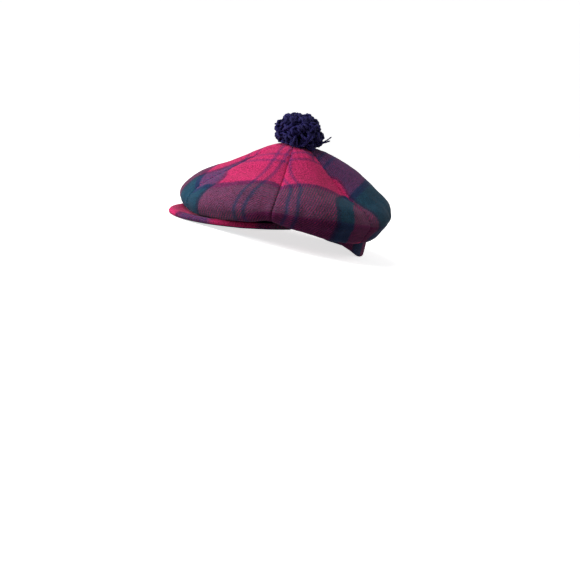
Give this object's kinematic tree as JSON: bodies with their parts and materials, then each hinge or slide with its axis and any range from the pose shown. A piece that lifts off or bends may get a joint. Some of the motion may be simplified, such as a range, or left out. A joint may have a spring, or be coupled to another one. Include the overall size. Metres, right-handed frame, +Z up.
{
  "type": "tartan wool cap with peak and pompom",
  "caption": "Full, soft wool cap of wedge-shaped panels in a crimson, navy and green check, with a head band, a short padded peak and a navy yarn pompom.",
  "frame": {"origin": "on the table, under the middle of the whole cap's length and width, where the cap lies on the front of its peak and the back of its band", "axes": "+Z up; -Y is the front, where the peak is; +X is the wearer's left"},
  "size_m": [0.262, 0.27, 0.152],
  "materials": {
    "tartan_wool": "brushed wool twill in a crimson, navy and green check",
    "navy_yarn": "curly dark navy wool yarn"
  },
  "bodies": {
    "root": {"gore_front_left": "tartan_wool", "gore_left": "tartan_wool", "gore_back_left": "tartan_wool", "gore_back_right": "tartan_wool", "gore_right": "tartan_wool", "gore_front_right": "tartan_wool", "band": "tartan_wool", "peak": "tartan_wool", "pompom": "navy_yarn"}
  },
  "joints": []
}
